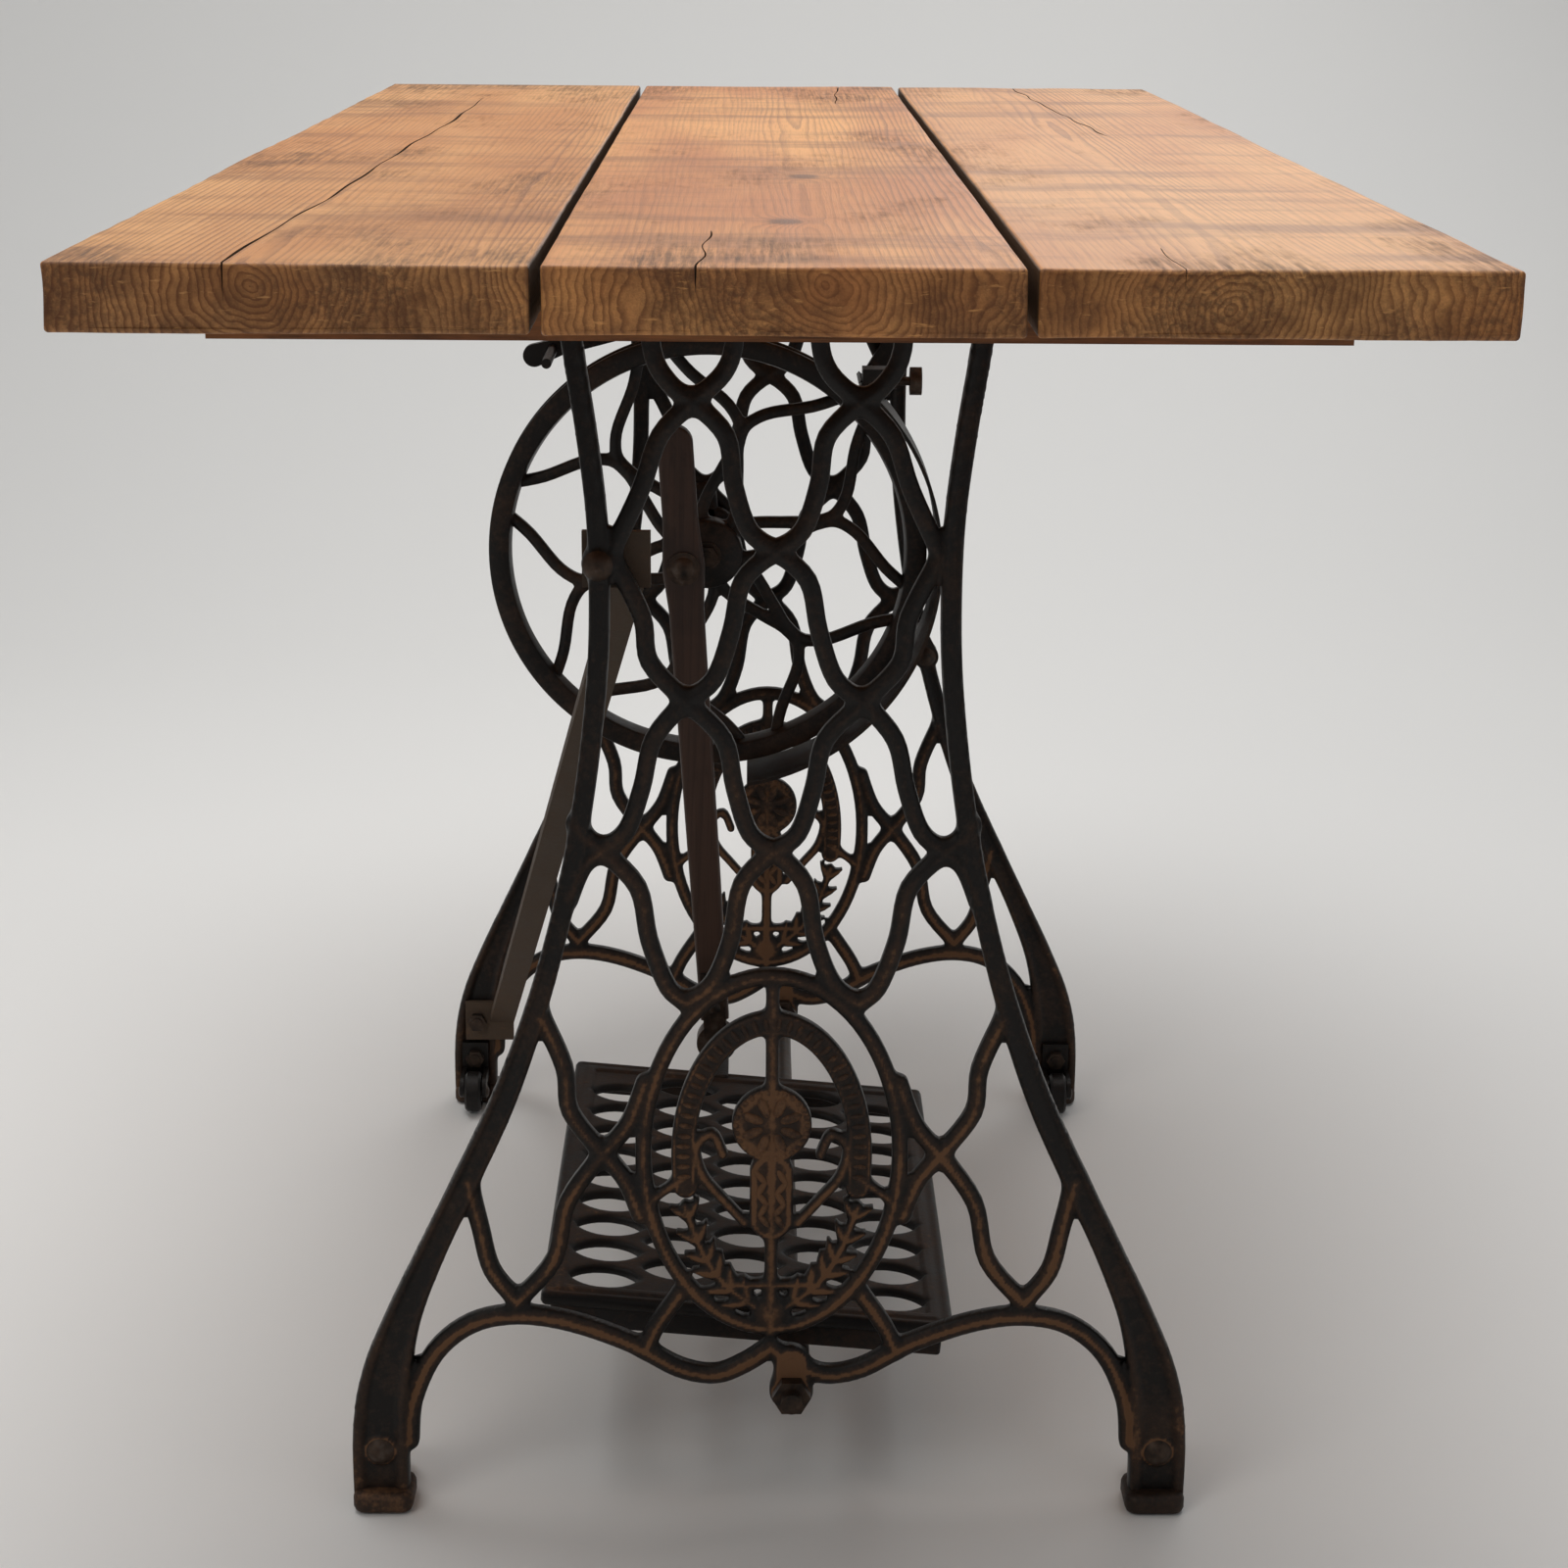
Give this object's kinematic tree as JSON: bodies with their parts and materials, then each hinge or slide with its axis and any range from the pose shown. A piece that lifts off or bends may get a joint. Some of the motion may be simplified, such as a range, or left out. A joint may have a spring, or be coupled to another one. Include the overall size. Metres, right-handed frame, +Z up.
{
  "type": "sewing table",
  "caption": "Plank-topped table on openwork cast treadle stand, with rocking treadle, pitman rod, spinning flywheel, dress guard and casters.",
  "frame": {"origin": "on the floor, under the centre of the tabletop", "axes": "+Z up, +Y along the tabletop away from the end it is seen from, +X towards the operator's side, where the dress guard is"},
  "size_m": [0.6, 1.22, 0.74],
  "materials": {
    "plank_wood": "old oiled pine with dark stains and open cracks",
    "batten_wood": "dark rough pine",
    "rod_wood": "worn dark hardwood",
    "rusty_iron": "old black casting browned by rust on its ridges",
    "black_iron": "old black enamel over a casting",
    "old_steel": "dull oxidised steel"
  },
  "bodies": {
    "stand": {"plank_left": "plank_wood", "plank_middle": "plank_wood", "plank_right": "plank_wood", "batten_near": "batten_wood", "batten_far": "batten_wood", "batten_screws": "old_steel", "end_frame_near": "rusty_iron", "end_frame_far": "rusty_iron", "top_screws_near": "old_steel", "top_screws_far": "old_steel", "rear_brace": "rusty_iron", "brace_bolts": "old_steel", "treadle_shaft": "old_steel", "shaft_nuts": "old_steel", "wheel_stud": "old_steel", "stud_nut_outer": "old_steel", "wheel_washer": "old_steel", "wheel_nut": "old_steel", "dress_guard": "black_iron", "guard_arms": "black_iron", "guard_screws": "old_steel", "shifter_screw": "old_steel", "caster_brackets": "rusty_iron", "caster_bolts": "old_steel", "caster_axles": "old_steel"},
    "treadle": {"treadle_plate": "rusty_iron", "ball_stud": "old_steel"},
    "pitman": {"pitman_rod": "rod_wood", "pitman_bearing": "old_steel", "bearing_screw": "old_steel", "pitman_socket": "old_steel", "socket_screws": "old_steel"},
    "wheel": {"flywheel": "black_iron", "crank_pin": "old_steel"},
    "shifter": {"belt_shifter": "black_iron"},
    "thumb": {"thumb_screw": "old_steel"},
    "caster_near_back": {"caster_wheel_near_back": "rusty_iron"},
    "caster_near_front": {"caster_wheel_near_front": "rusty_iron"},
    "caster_far_back": {"caster_wheel_far_back": "rusty_iron"},
    "caster_far_front": {"caster_wheel_far_front": "rusty_iron"}
  },
  "joints": [
    {"name": "treadle_rock", "type": "hinge", "parent": "stand", "child": "treadle", "pos_m": [0.012, 0, 0.072], "axis": [0, 1, 0], "range_deg": [-21.5, 16.7]},
    {"name": "pitman_swing", "type": "hinge", "parent": "treadle", "child": "pitman", "pos_m": [-0.036, 0.159, 0.10201], "axis": [0, 1, 0], "range_deg": [-17.2, 22]},
    {"name": "wheel_spin", "type": "hinge", "parent": "stand", "child": "wheel", "pos_m": [-0.043, 0.225, 0.444], "axis": [0, 1, 0], "continuous": true},
    {"name": "shifter_swing", "type": "hinge", "parent": "stand", "child": "shifter", "pos_m": [-0.09533, 0.28, 0.596], "axis": [0, 1, 0], "range_deg": [-6, 24]},
    {"name": "thumb_turn", "type": "hinge", "parent": "stand", "child": "thumb", "pos_m": [0.07328, 0.196, 0.5687], "axis": [1, 0, 0], "range_deg": [-180, 180]},
    {"name": "caster_spin_near_back", "type": "hinge", "parent": "stand", "child": "caster_near_back", "pos_m": [-0.221, -0.269, 0.016], "axis": [1, 0, 0], "continuous": true},
    {"name": "caster_spin_near_front", "type": "hinge", "parent": "stand", "child": "caster_near_front", "pos_m": [0.221, -0.269, 0.016], "axis": [1, 0, 0], "continuous": true},
    {"name": "caster_spin_far_back", "type": "hinge", "parent": "stand", "child": "caster_far_back", "pos_m": [-0.221, 0.269, 0.016], "axis": [1, 0, 0], "continuous": true},
    {"name": "caster_spin_far_front", "type": "hinge", "parent": "stand", "child": "caster_far_front", "pos_m": [0.221, 0.269, 0.016], "axis": [1, 0, 0], "continuous": true}
  ],
  "couplings": [
    {"joint": "pitman_swing", "follows": "treadle_rock", "ratio": -1}
  ]
}
